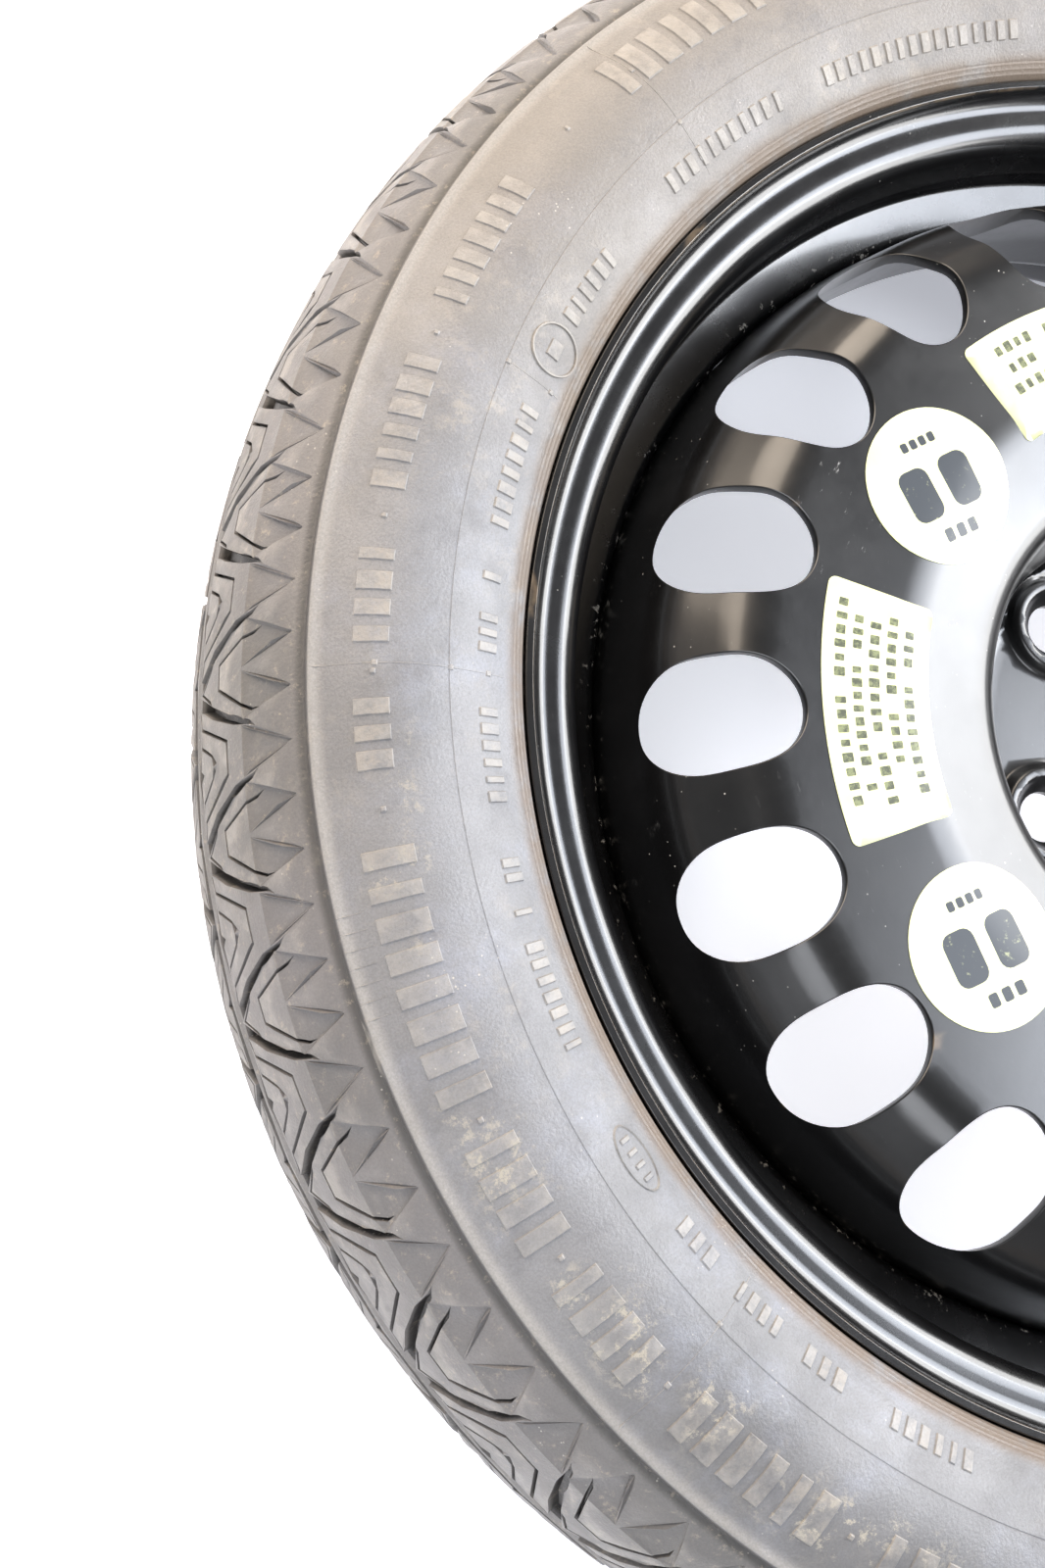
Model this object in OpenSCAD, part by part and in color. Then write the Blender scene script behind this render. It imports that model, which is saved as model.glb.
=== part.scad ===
// Space saver spare wheel: a narrow steel wheel with a temporary-use radial tyre.
// The origin is the centre of the hub bore on the hub mounting face, and +Z points outboard.

/* [Rim] */
// Diameter of the bead seats at the flange
bead_seat_d = 436.6; // [430:0.1:444]
// Width between the two bead flanges
rim_width = 101.6; // [98:0.1:112]
// Distance from the wheel's centre plane to the hub mounting face
wheel_offset = 35; // [30:0.5:38]
// Height of each bead flange above the bead seat
flange_h = 17.5; // [16:0.1:19]
// Width of the rolled lip of each flange
lip_w = 9.7; // [9:0.1:11]
// Sheet thickness of the rim
rim_t = 2.6; // [2.2:0.1:3]
// Inner diameter of the drop-centre well
well_id = 400; // [396:0.5:402]
// Rise of the safety hump beside each bead seat
hump_h = 1.2; // [0.6:0.1:1.6]

/* [Disc] */
// Sheet thickness of the wheel disc
disc_t = 4; // [3:0.1:4.5]
// Diameter of the flat hub face
hub_face_d = 146; // [142:1:150]
// Radius at which the nave wall meets the crown
crown_in_r = 86; // [84:0.5:90]
// Height of the crown above the mounting face
crown_h = 44.3; // [38:0.1:48]
// Radius of the shoulder where the crown turns down to the rim
shoulder_r = 171; // [166:0.5:176]
// Length of the press-fit skirt inside the rim's well
skirt_l = 20; // [15:0.5:24]
// Number of vent holes
vent_count = 20; // [16:1:22]
// Radius at the inner end of a vent hole
vent_in_r = 152.6; // [150:0.2:156]
// Radial length of a vent hole, seen along the axis
vent_l = 41.8; // [38:0.2:42.4]
// Width of a vent hole
vent_w = 36.6; // [28:0.2:38]
// Angle of the first vent hole
vent_phase = 17.4; // [0:0.1:18]

/* [Hub] */
// Diameter of the centre bore
centre_bore_d = 66.6; // [60:0.1:72.6]
// Number of bolt holes
bolt_count = 5; // [4:1:6]
// Pitch circle diameter of the bolt holes
bolt_pcd = 112; // [108:0.5:114.3]
// Diameter of each bolt hole
bolt_hole_d = 17; // [14:0.1:18]
// Radius of the ball seat in each bolt hole
ball_seat_r = 14; // [12:0.5:15]
// Height of the raised seat above the hub face
seat_rise = 4.5; // [3:0.1:5.5]
// Angle of the first bolt hole
bolt_phase = 8; // [-36:0.5:36]

/* [Tyre] */
// Outer diameter of the tyre
tyre_od = 649; // [640:0.5:656]
// Section width across the sidewalls
section_w = 150; // [146:0.5:158]
// Step down in radius from the tread face to the ridge between shoulder and sidewall
ridge_drop = 21.9; // [20:0.1:24]
// Depth of the tread grooves
tread_depth = 5; // [3:0.1:7]
// Width of a tread groove
groove_w = 3.6; // [2.5:0.1:5]
// Depth of the scallops between the shoulder lugs
scallop_depth = 2.4; // [1.2:0.1:3]
// Width of the two grooves that run round the tread
ring_groove_w = 3; // [2:0.1:4]
// Thickness of the tyre's crown
crown_t = 12; // [11:0.5:14]
// Thickness of the tyre's sidewall
sidewall_t = 7; // [6:0.1:8]
// Gap between the tyre's bead and the rim
bead_gap = 0.15; // [0.05:0.05:0.3]

/* [Welds] */
// Number of weld beads between the disc and the rim
weld_count = 8; // [4:1:10]
// Angle that each weld bead spans
weld_span = 22; // [12:1:28]
// Leg of the weld fillet
weld_leg = 3.4; // [2.5:0.1:4]

/* [Valve] */
// Diameter of the valve hole in the rim
valve_hole_d = 11.3; // [11.1:0.1:11.6]
// Length of the valve outside the rim, without its cap
valve_l = 24; // [22:0.5:26]
// Vent hole that the valve stands beside, counted from the first
valve_vent = 10; // [8:1:13]
// Travel of the valve pin
pin_travel = 1.2; // [0.8:0.1:1.4]
// Outer diameter of the valve cap
cap_d = 9.2; // [8.8:0.1:9.6]
// Length of the valve cap
cap_l = 11; // [10:0.5:12]

/* [Labels] */
// Thickness of the adhesive labels
label_t = 0.25; // [0.15:0.05:0.4]
// Diameter of the round labels
round_label_d = 51.8; // [48:0.2:54]
// Radius of the circle on which the round labels are centred
round_label_r = 124.6; // [122:0.2:128]
// Angle that a ring-sector label spans
note_span = 33.6; // [28:0.2:36]
// Inner radius of a ring-sector label
note_in_r = 111.4; // [108:0.2:114]
// Outer radius of a ring-sector label
note_out_r = 148; // [144:0.2:150]
// Angle of the upper round label
upper_label_angle = -54.7; // [-60:0.1:-52]
// Angle of the lower round label
lower_label_angle = 17.4; // [14:0.1:20]
// Angle of the left ring-sector label
left_note_angle = -18.4; // [-20:0.1:-17]
// Angle of the top ring-sector label
top_note_angle = -89; // [-92:0.1:-87]

/* [Hidden] */
$fn = 96;

paint_black = [0.035, 0.035, 0.04];
rubber_grey = [0.33, 0.33, 0.33];
brass = [0.72, 0.6, 0.36];
label_yellow = [0.93, 0.95, 0.68];

centre_z = -wheel_offset;
half_w = rim_width / 2;
seat_r = bead_seat_d / 2;
lip_r = seat_r + flange_h;
skirt_r = well_id / 2;
vent_pitch = 360 / vent_count;

// Path with rounded corners: each entry is [radius, height, corner radius] and, where it differs, its number of steps
function unit2(v) = v / norm(v);
function corner_points(a, b, c, rad, n) =
    let (u = unit2(a - b), v = unit2(c - b), half = acos(u * v) / 2,
         m = b + unit2(u + v) * rad / sin(half), s = b + u * rad / tan(half),
         a0 = atan2(s[1] - m[1], s[0] - m[0]), turn = sign(u[0] * v[1] - u[1] * v[0]) * (2 * half - 180))
    [for (k = [0 : n]) m + rad * [cos(a0 + turn * k / n), sin(a0 + turn * k / n)]];
function xy(p) = [p[0], p[1]];
function rounded_path(p, n = 6) =
    [for (i = [0 : len(p) - 1])
        each (i == 0 || i == len(p) - 1 || p[i][2] == 0)
            ? [xy(p[i])]
            : corner_points(xy(p[i - 1]), xy(p[i]), xy(p[i + 1]), p[i][2], len(p[i]) > 3 ? p[i][3] : n)];
function direction(path, i) =
    let (a = unit2(path[min(i + 1, len(path) - 1)] - path[min(i, len(path) - 2)]),
         b = unit2(path[max(i, 1)] - path[max(i - 1, 0)]))
    unit2(a + b);
function beside(path, d) =
    [for (i = [0 : len(path) - 1]) let (t = direction(path, i)) path[i] + d * [t[1], -t[0]]];
function reversed(v) = [for (i = [len(v) - 1 : -1 : 0]) v[i]];
function sheet_outline(path, t) = concat(beside(path, t / 2), reversed(beside(path, -t / 2)));

// Tyre: beads, sidewalls with their ridge, lugged shoulders and grooved tread
tyre_r = tyre_od / 2;
ridge_r = tyre_r - ridge_drop;
half_s = section_w / 2;
toe_h = half_w - 16.8;
curl_r = 8;
bead_side = [
    [seat_r + bead_gap - 0.5, toe_h, 0],
    [seat_r + bead_gap, half_w - bead_gap, 6.3],
    [lip_r + bead_gap, half_w - bead_gap, curl_r + rim_t / 2 + bead_gap, 9],
    [lip_r + bead_gap, half_w + lip_w - 1.4, 0],
    [lip_r + 4.2, half_w + 13.2, 4],
    [lip_r + 26, half_s - 1, 30],
    [lip_r + 42, half_s + 0.2, 30],
    [ridge_r - 5, half_s - 8.4, 20],
    [ridge_r, half_s - 10.8, 0],
    [ridge_r + 0.4, half_s - 13.4, 0],
    [ridge_r + 2.4, half_s - 14, 0],
    [tyre_r - 13.5, half_s - 19.4, 10],
    [tyre_r - 6.4, half_s - 30.4, 20],
    [tyre_r - 2.2, half_s - 44, 30],
    [tyre_r, half_s - 60, 40]];
air_side = [
    [seat_r + 5, toe_h - 0.6, 2],
    [lip_r - 1, half_w - 9, 12],
    [lip_r + 13, half_s - 6.4 - sidewall_t, 30],
    [lip_r + 40, half_s - 0.6 - sidewall_t, 40],
    [tyre_r - crown_t - 2, half_s - 15 - sidewall_t, 26]];
function at_height(p, side) = [for (i = [0 : len(p) - 1]) i == 1 ? centre_z + side * p[1] : p[i]];
tyre_outline = rounded_path(concat(
    [for (p = bead_side) at_height(p, 1)],
    [for (p = reversed(bead_side)) at_height(p, -1)],
    [for (p = air_side) at_height(p, -1)],
    [for (p = reversed(air_side)) at_height(p, 1)]), 3);

// Order of the short, middle and long tread pitches round the tyre
pitch_order = "MMSSSSMLLMSSLMSSSLLMSMLSSMLSSMLSMSLS";
pitch_lengths = [for (c = pitch_order) c == "S" ? 1 : c == "M" ? 1.14 : 1.29];
function sum_to(v, n, i = 0, s = 0) = i < n ? sum_to(v, n, i + 1, s + v[i]) : s;
pitch_unit = 360 / sum_to(pitch_lengths, len(pitch_lengths));
pitch_start = -55.7;
inboard_shift = 3.3;

// Cutter whose floor runs from point a to point b, both [radius, height above the centre plane]
module along_tread(a, b, side) {
    slope = atan2(a[1] - b[1], b[0] - a[0]);
    mirror([0, 0, side > 0 ? 0 : 1])
        translate([a[0], 0, a[1]])
            rotate([0, slope, 0])
                linear_extrude(height = 16)
                    children();
}
module shoulder_scallop(width, side) {
    a = [ridge_r + 2 - scallop_depth * 0.8, half_s - 14 - scallop_depth * 0.8];
    b = [tyre_r - 6.2, half_s - 30.6];
    along_tread(a, b, side)
        polygon([[-1.4, -1], [-1.4, 1], [norm(b - a), width / 2], [norm(b - a), -width / 2]]);
}
module cross_groove(width, hand, side) {
    a = [tyre_r - 6.6 - tread_depth * 0.8, half_s - 29.6];
    b = [tyre_r - tread_depth - 0.07, 3.3];
    t0 = hand * width * 0.17;
    t1 = hand * width * 0.46;
    along_tread(a, b, side)
        polygon([[0, t0 - groove_w * 0.4], [0, t0 + groove_w * 0.4],
                 [norm(b - a), t1 + groove_w * 0.6], [norm(b - a), t1 - groove_w * 0.6]]);
}
module tread_side(side) {
    for (i = [0 : len(pitch_lengths) - 1]) {
        span = pitch_lengths[i] * pitch_unit;
        start = pitch_start + sum_to(pitch_lengths, i) * pitch_unit + (side > 0 ? 0 : inboard_shift);
        for (k = [0 : 2])
            rotate([0, 0, start + span * k / 3])
                shoulder_scallop(span / 3 * PI / 180 * (tyre_r - 8), side);
        rotate([0, 0, start])
            cross_groove(span * PI / 180 * tyre_r, 1, side);
        rotate([0, 0, start + span])
            cross_groove(span * PI / 180 * tyre_r, -1, side);
    }
}
module ring_groove(h) {
    rotate_extrude()
        translate([tyre_r - tread_depth, h - ring_groove_w / 2])
            square([tread_depth + 2, ring_groove_w]);
}
module tyre() {
    color(rubber_grey)
        difference() {
            rotate_extrude() polygon(tyre_outline);
            translate([0, 0, centre_z]) {
                tread_side(1);
                tread_side(-1);
                ring_groove(4.6);
                ring_groove(-4.6);
            }
        }
}

// Rim: one rolled strip with lips, bead seats, safety humps and an offset drop centre
seat_c = seat_r - rim_t / 2;
lip_c = lip_r - rim_t / 2;
well_c = skirt_r + rim_t / 2;
seat_drop = 1;
ledge_out = 25;
well_out = 19.9;
well_in = -10;
ledge_in = -22;
lip_side = [
    [lip_c, half_w + lip_w, 0],
    [lip_c, half_w + rim_t / 2, curl_r],
    [seat_c, half_w + rim_t / 2, 6.5 + rim_t / 2],
    [seat_c - seat_drop, half_w - 17, 2],
    [seat_c - seat_drop + hump_h, half_w - 20, 2],
    [seat_c - seat_drop, half_w - 23, 2]];
rim_path = rounded_path(concat(
    [for (p = lip_side) at_height(p, 1)],
    [[seat_c - seat_drop, centre_z + ledge_out, 3],
     [well_c, centre_z + well_out, 4],
     [well_c, centre_z + well_in, 8],
     [seat_c - seat_drop, centre_z + ledge_in, 8]],
    [for (p = reversed(lip_side)) at_height(p, -1)]), 5);
module rim() {
    color(paint_black)
        difference() {
            rotate_extrude() polygon(sheet_outline(rim_path, rim_t));
            at_valve() cylinder(h = 20, d = valve_hole_d, center = true);
        }
}

// Disc: pressed bowl with a flat hub face, a crown, a turned-down shoulder and a press-fit skirt
fit_gap = 0.15;
skirt_top = -14;
skirt_c = skirt_r - fit_gap - disc_t / 2;
crown_c = crown_h - disc_t / 2;
disc_path = rounded_path([
    [centre_bore_d / 2, disc_t / 2, 0],
    [hub_face_d / 2 - 5, disc_t / 2, 0],
    [hub_face_d / 2 + 3, disc_t / 2, 8],
    [crown_in_r, crown_c - 6.2, 9],
    [crown_in_r + 31, crown_c, 60],
    [shoulder_r, crown_c, 18],
    [shoulder_r + 19.5, crown_c - 22.3, 30],
    [skirt_c, skirt_top, 40],
    [skirt_c, skirt_top - skirt_l, 0]], 6);
module at_bolts() {
    for (k = [0 : bolt_count - 1])
        rotate([0, 0, bolt_phase + 360 * k / bolt_count])
            translate([bolt_pcd / 2, 0, 0])
                children();
}
module vent_outline() {
    inner_r = vent_w / 2;
    corner_r = vent_w * 0.369;
    outer_x = vent_in_r + vent_l - corner_r;
    translate([vent_in_r + inner_r, 0]) circle(inner_r);
    translate([vent_in_r + inner_r, -inner_r]) square([outer_x - vent_in_r - inner_r, vent_w]);
    for (s = [-1, 1])
        translate([outer_x, s * (inner_r - corner_r)]) circle(corner_r);
    translate([outer_x, corner_r - inner_r]) square([corner_r, vent_w - 2 * corner_r]);
}
module disc() {
    seat_top = disc_t + seat_rise;
    mouth_r = ball_seat_r - 1;
    color(paint_black)
        difference() {
            union() {
                rotate_extrude() polygon(sheet_outline(disc_path, disc_t));
                at_bolts() translate([0, 0, disc_t / 2])
                    cylinder(h = seat_top - disc_t / 2, r1 = mouth_r + 5.4, r2 = mouth_r + 2.4);
            }
            at_bolts() translate([0, 0, seat_top + sqrt(ball_seat_r * ball_seat_r - mouth_r * mouth_r)])
                sphere(r = ball_seat_r);
            at_bolts() translate([0, 0, -1]) cylinder(h = disc_t + 2, d = bolt_hole_d);
            for (k = [0 : vent_count - 1])
                rotate([0, 0, vent_phase + k * vent_pitch])
                    translate([0, 0, -10])
                        linear_extrude(height = crown_h + 20) vent_outline();
        }
}

// Weld beads: fillets between the end of the disc's skirt and the rim's well
module weld_beads() {
    outer = skirt_r - fit_gap;
    top = skirt_top - skirt_l - fit_gap;
    color(paint_black)
        for (k = [0 : weld_count - 1])
            rotate([0, 0, 360 * (k + 0.5) / weld_count - weld_span / 2])
                rotate_extrude(angle = weld_span)
                    polygon([[outer, top], [outer, top - weld_leg], [outer - weld_leg, top]]);
}

// Valve: a rubber body snapped into the rim, with a brass stem, its core and a cap
valve_base = [(seat_c - seat_drop + well_c) / 2, centre_z + (ledge_out + well_out) / 2];
valve_tilt = atan2(ledge_out - well_out, seat_c - seat_drop - well_c);
valve_angle = vent_phase + valve_vent * vent_pitch;
stem_r = 3;
stem_tip_r = 3.85;
stem_bore_r = 1.9;
core_bore_r = 2.75;
core_gap = 0.1;
pin_r = 0.5;
pin_gap = 0.06;
core_top = valve_l - 2.6;
core_plug_l = 3.6;
body_l = 5;
barrel_r = 1.2;
floor_t = 0.6;
gasket_l = 1.2;
exposed_l = 8;
gasket_z = core_top - core_plug_l - gasket_l - 2 * core_gap;
body_z = gasket_z - body_l + gasket_l;
collar_z = body_z + body_l - 1.6;
cup_z = body_z - 1.7;
snug = 0.02;
module at_valve() {
    rotate([0, 0, valve_angle])
        translate([valve_base[0], 0, valve_base[1]])
            rotate([0, -valve_tilt, 0])
                children();
}
module ring(z, h, r_out, r_in) {
    translate([0, 0, z])
        difference() {
            cylinder(h = h, r = r_out);
            translate([0, 0, -1]) cylinder(h = h + 2, r = r_in);
        }
}
module valve_body() {
    seat = rim_t / 2 + 0.35;
    neck = valve_hole_d / 2 - 0.1;
    top = valve_l - exposed_l;
    bore = stem_r + snug;
    color([0.06, 0.06, 0.06])
        at_valve()
            rotate_extrude()
                polygon([[bore, -9.4], [5.6, -9.4], [7, -8], [7, -seat - 1.8], [6, -seat], [neck, -seat],
                         [neck, seat], [5.9, seat], [6.6, seat + 1], [6.4, seat + 2.6], [5.4, seat + 5],
                         [4.9, seat + 9], [4.4, top - 1], [4, top], [bore, top]]);
}
module valve_stem() {
    color(brass)
        at_valve()
            difference() {
                union() {
                    translate([0, 0, -8.6]) cylinder(h = valve_l + 8, r = stem_r);
                    translate([0, 0, valve_l - exposed_l + 0.2])
                        cylinder(h = exposed_l - 0.9, r = stem_tip_r);
                    translate([0, 0, valve_l - 0.7]) cylinder(h = 0.7, r1 = stem_tip_r, r2 = stem_tip_r - 0.5);
                }
                translate([0, 0, -10]) cylinder(h = valve_l + 12, r = stem_bore_r);
                translate([0, 0, gasket_z + gasket_l + core_gap]) cylinder(h = valve_l, r = core_bore_r);
            }
}
module valve_core_plug() {
    bridge = 0.9;
    color(brass)
        at_valve() {
            difference() {
                translate([0, 0, core_top - core_plug_l]) cylinder(h = core_plug_l, r = core_bore_r - 0.1);
                translate([0, 0, core_top - core_plug_l - 1]) cylinder(h = core_plug_l + 2, r = pin_r + pin_gap);
                for (s = [-1, 1])
                    translate([s * 2.2 - 1.4, -3, core_top - 1.4]) cube([2.8, 6, 2]);
                translate([0, 0, core_top - core_plug_l - bridge]) cylinder(h = core_plug_l - 1.4, r = 1.3);
            }
        }
}
module valve_core_gasket() {
    color([0.75, 0.2, 0.15])
        at_valve() ring(gasket_z, gasket_l, stem_bore_r - snug, barrel_r + snug);
}
module valve_core_body() {
    color(brass)
        at_valve() {
            ring(body_z, core_top - core_plug_l - body_z, barrel_r, 0.95);
            ring(body_z, floor_t, barrel_r, pin_r + pin_gap);
        }
}
module valve_pin() {
    color(brass)
        at_valve()
            union() {
                translate([0, 0, cup_z - 0.4]) cylinder(h = valve_l - 0.5 - cup_z, r = pin_r);
                translate([0, 0, valve_l - 0.9]) cylinder(h = 0.6, r = 0.8);
                translate([0, 0, collar_z]) cylinder(h = 0.5, r = 0.85);
            }
}
module valve_cup() {
    color(brass) at_valve() ring(cup_z, 0.8, 1.6, pin_r + snug);
}
module valve_cup_seal() {
    color([0.1, 0.1, 0.1]) at_valve() ring(cup_z + 0.8, 0.85, 1.5, pin_r + snug);
}
module valve_spring() {
    turns = 5;
    wire = 0.22;
    low = body_z + floor_t;
    free_l = collar_z - low - wire;
    arc = wire / free_l * turns * 360;
    color([0.7, 0.7, 0.72])
        at_valve()
            translate([0, 0, low])
                linear_extrude(height = collar_z - low, twist = -360 * turns, slices = 16 * turns, $fn = 18)
                    polygon(concat(
                        [for (k = [0 : 8]) (0.74 + wire / 2) * [cos(arc * k / 8), sin(arc * k / 8)]],
                        [for (k = [8 : -1 : 0]) (0.74 - wire / 2) * [cos(arc * k / 8), sin(arc * k / 8)]]));
}
module valve_cap() {
    flutes = 18;
    low = valve_l - exposed_l + 0.8;
    color([0.07, 0.07, 0.07])
        at_valve()
            difference() {
                translate([0, 0, low]) cylinder(h = cap_l, d = cap_d);
                translate([0, 0, low - 1]) cylinder(h = cap_l - 0.6, r = stem_tip_r + 0.2);
                for (k = [0 : flutes - 1])
                    rotate([0, 0, 360 * k / flutes])
                        translate([cap_d / 2 + 0.25, 0, low + 1.5]) cylinder(h = cap_l, r = 0.5, $fn = 24);
            }
}
module valve_cap_seal() {
    color([0.12, 0.12, 0.12])
        at_valve() ring(valve_l + 0.1, cap_l - exposed_l - 0.9, stem_tip_r + 0.2 - snug, 1.6);
}

// Labels: thin film that follows the disc's crown
label_band = [for (p = disc_path) if (p[0] > crown_in_r + 4 && p[0] < shoulder_r - 8) p];
module label_film(angle) {
    lift = disc_t / 2 + 0.03;
    rotate_extrude(angle = angle)
        polygon(concat(beside(label_band, -lift), reversed(beside(label_band, -lift - label_t))));
}
module round_label(angle) {
    color(label_yellow)
        intersection() {
            label_film(360);
            rotate([0, 0, angle]) translate([round_label_r, 0, 0]) cylinder(h = crown_h * 2, d = round_label_d);
        }
}
module note_label(angle) {
    color(label_yellow)
        rotate([0, 0, angle - note_span / 2])
            intersection() {
                label_film(note_span);
                ring(0, crown_h * 2, note_out_r, note_in_r);
            }
}
module label_speed_upper() { round_label(upper_label_angle); }
module label_speed_lower() { round_label(lower_label_angle); }
module label_note_left() { note_label(left_note_angle); }
module label_note_top() { note_label(top_note_angle); }

tyre();
rim();
disc();
weld_beads();
valve_body();
valve_stem();
valve_core_plug();
valve_core_gasket();
valve_core_body();
valve_pin();
valve_cup();
valve_cup_seal();
valve_spring();
valve_cap();
valve_cap_seal();
label_speed_upper();
label_speed_lower();
label_note_left();
label_note_top();
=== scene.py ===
import math

import bpy
import numpy as np
from mathutils import Matrix, Vector
from mathutils.geometry import delaunay_2d_cdt


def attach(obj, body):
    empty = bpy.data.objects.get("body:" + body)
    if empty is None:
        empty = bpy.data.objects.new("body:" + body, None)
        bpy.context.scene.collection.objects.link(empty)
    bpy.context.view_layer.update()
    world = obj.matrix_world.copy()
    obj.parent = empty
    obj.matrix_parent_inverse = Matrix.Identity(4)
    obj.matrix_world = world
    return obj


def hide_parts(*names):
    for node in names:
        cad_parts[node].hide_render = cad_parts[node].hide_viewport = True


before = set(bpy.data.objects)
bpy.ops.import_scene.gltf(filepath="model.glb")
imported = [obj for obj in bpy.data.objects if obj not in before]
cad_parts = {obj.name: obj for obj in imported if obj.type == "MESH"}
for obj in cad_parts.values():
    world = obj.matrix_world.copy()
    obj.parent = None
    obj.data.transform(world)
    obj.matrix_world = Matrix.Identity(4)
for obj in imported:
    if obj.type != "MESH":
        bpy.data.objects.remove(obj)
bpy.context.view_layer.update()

# The tyre is one moulding: bead, sidewall, a ridge at the sidewall's end, toothed shoulders and a low tread.
# Its section is held as (radius, height above the centre plane) in millimetres; that plane is 35 mm down.
# The tread is drawn once as a flat tile of one pitch and wrapped 36 times, in three pitch lengths.
MM = 0.001
MID = -35.0
TREAD_TOP = 60.9
tread_line = [(303.2, TREAD_TOP), (305.4, 60.2), (306.6, 59.6), (311.5, 55.0), (315.0, 49.6), (318.2, 43.5),
              (320.6, 37.0), (322.2, 30.0), (323.4, 22.0), (324.1, 14.0), (324.4, 8.0), (324.5, 0.0)]
lengths = {"S": 1.0, "M": 1.14, "L": 1.29}
order = "MMSSSSMLLMSSLMSSSLLMSMLSSMLSSMLSMSLS"
unit = 360.0 / sum(lengths[c] for c in order)
first_pitch, far_shift = -55.7, 3.3
pitch_mm = 56.6
scallops = range(-3, 7)


def surface_at(line, h):
    """Radii and outward normals of a section line at heights h."""
    rr, hh = (np.array([p[i] for p in line[::-1]]) for i in (0, 1))
    r = np.interp(h, hh, rr)
    dr = (np.interp(h + 0.6, hh, rr) - np.interp(h - 0.6, hh, rr)) / 1.2
    size = np.hypot(1.0, dr)
    return r, 1.0 / size, -dr / size


def strip(points, widths):
    """Outline of a band of given widths along a flat polyline."""
    p = [Vector(q) for q in points]
    left, right = [], []
    for i, q in enumerate(p):
        a = (q - p[i - 1]).normalized() if i else (p[1] - q).normalized()
        b = (p[i + 1] - q).normalized() if i < len(p) - 1 else a
        t = (a + b).normalized()
        n = Vector((-t.y, t.x)) * (widths[i] / 2 / max(0.5, t.dot(a)))
        left.append(tuple(q + n))
        right.append(tuple(q - n))
    return left + right[::-1]


def inside(x, y, poly):
    """Whether points lie in or on a polygon."""
    ring = np.array(poly, float)
    x0, y0 = ring[:, 0, None], ring[:, 1, None]
    dx, dy = np.roll(ring[:, 0], -1)[:, None] - x0, np.roll(ring[:, 1], -1)[:, None] - y0
    px, py = np.atleast_1d(x)[None, :] - x0, np.atleast_1d(y)[None, :] - y0
    cross = (py < 0) != (py < dy)
    hit = np.sum(cross & (px < dx * py / np.where(dy == 0, 1e-12, dy)), 0) % 2 == 1
    k = np.clip((px * dx + py * dy) / np.maximum(dx * dx + dy * dy, 1e-12), 0, 1)
    return hit | np.any(np.hypot(px - k * dx, py - k * dy) < 0.012, 0)


def tile_features():
    """(outer outline, floor outline, depth by height) of every cut in one pitch of the tread, flat, in mm."""
    w = pitch_mm
    cuts = []
    for k in scallops:
        c = w * k / 3
        outer = [(c, 60.1), (c - 8.9, 43.4), (c + 8.9, 43.4)]
        floor = [(c, 58.5), (c - 8.0, 43.9), (c + 8.0, 43.9)]
        cuts.append((outer, floor,
                     lambda h: np.interp(h, [43.0, 47.0, 51.6, 56.0, 59.5], [0.1, 1.3, 2.2, 2.0, 1.2])))
    for j in (-1, 0, 1):
        o = j * w
        for s in (1, -1):
            a = [(0.165, 46.6), (0.21, 39.0), (0.32, 23.0), (0.46, 4.6)]
            pts = [(o + (u if s > 0 else 1 - u) * w, h) for u, h in a]
            cuts.append((strip(pts, [1.6, 3.4, 4.2, 4.8]), strip(pts, [0.5, 2.2, 3.0, 3.6]),
                         lambda h: 4.6 * np.clip((47.4 - h) / 7.0, 0.25, 1)))
        top = [(o - 0.285 * w, 8.6), (o - 0.10 * w, 34.4), (o + 0.10 * w, 34.4), (o + 0.285 * w, 8.6)]
        vee = [(o + 0.285 * w, 46.6), (o + 0.41 * w, 28.2), (o + 0.56 * w, 28.2), (o + 0.755 * w, 46.6)]
        low_vee = [(o + 0.40 * w, 20.0), (o + 0.5 * w, 9.0), (o + 0.60 * w, 20.0)]
        bars = [[(o - 0.17 * w, 8.4), (o - 0.07 * w, 21.0)], [(o + 0.17 * w, 8.4), (o + 0.07 * w, 21.0)]]
        for line in [top, vee, low_vee] + bars:
            n = len(line)
            cuts.append((strip(line, [1.15] * n), strip(line, [0.62] * n), lambda h: 2.6 + 0 * h))
        notch = [(o - 2.4, 5.4), (o, 10.2), (o + 2.4, 5.4)]
        cuts.append((notch, [(o - 1.7, 5.5), (o, 9.0), (o + 1.7, 5.5)], lambda h: 3.4 + 0 * h))
    cuts.append(([(-w, 2.8), (-w, 5.9), (2 * w, 5.9), (2 * w, 2.8)],
                 [(-w, 3.3), (-w, 5.4), (2 * w, 5.4), (2 * w, 3.3)], lambda h: 4.8 + 0 * h))
    return cuts


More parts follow.
